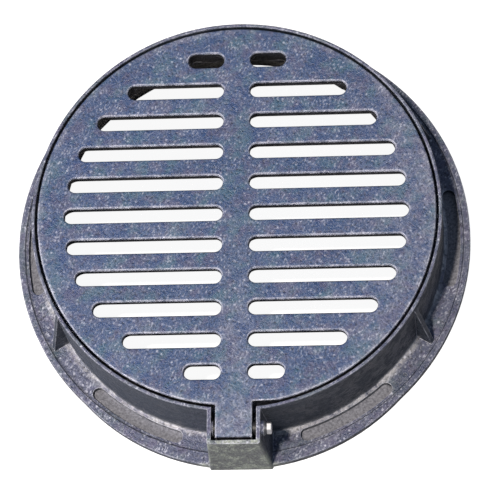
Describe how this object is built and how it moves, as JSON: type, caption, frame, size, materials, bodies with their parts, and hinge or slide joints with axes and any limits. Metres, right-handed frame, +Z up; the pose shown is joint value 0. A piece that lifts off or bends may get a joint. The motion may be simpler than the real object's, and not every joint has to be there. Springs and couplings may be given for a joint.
{
  "type": "manhole cover",
  "caption": "Round slotted cast-iron manhole cover, hinged at one edge in a flanged round frame with a seat ring, hinge box and spring latch.",
  "frame": {"origin": "on the axis of the round opening, in the plane of the frame's base", "axes": "+Z up out of the road, -Y towards the hinge, X along the hinge bolt, its head at +X"},
  "size_m": [0.785, 0.797, 0.16],
  "materials": {
    "cover_iron": "as cast, blue-black bitumen paint, dusty and worn at the edges",
    "frame_iron": "as cast, black bitumen paint, dusty, bare at the rim",
    "latch_iron": "as cast, black bitumen paint",
    "zinc_steel": "zinc plated",
    "spring_steel": "bright stainless spring steel",
    "seat_rubber": "matt moulded elastomer",
    "polyamide": "matt moulded polyamide"
  },
  "bodies": {
    "frame": {"frame": "frame_iron", "seat_gasket": "seat_rubber", "hinge_bolt": "zinc_steel", "hinge_washer": "zinc_steel", "hinge_lock_washer": "zinc_steel", "hinge_spacer_left": "polyamide", "hinge_spacer_right": "polyamide"},
    "cover": {"grate": "cover_iron", "latch_pivot_pin": "spring_steel", "latch_spring": "spring_steel"},
    "latch_pawl": {"latch_pawl": "latch_iron"}
  },
  "joints": [
    {"name": "cover_hinge", "type": "hinge", "parent": "frame", "child": "cover", "pos_m": [0, -0.374, 0.144], "axis": [1, 0, 0], "range_deg": [0, 110]},
    {"name": "latch_pivot", "type": "hinge", "parent": "cover", "child": "latch_pawl", "pos_m": [0, 0.288, 0.134], "axis": [1, 0, 0], "range_deg": [-15, 0], "stiffness_Nm_per_rad": 1.3, "springref_deg": 9.17, "deforming": ["latch_spring"]}
  ]
}
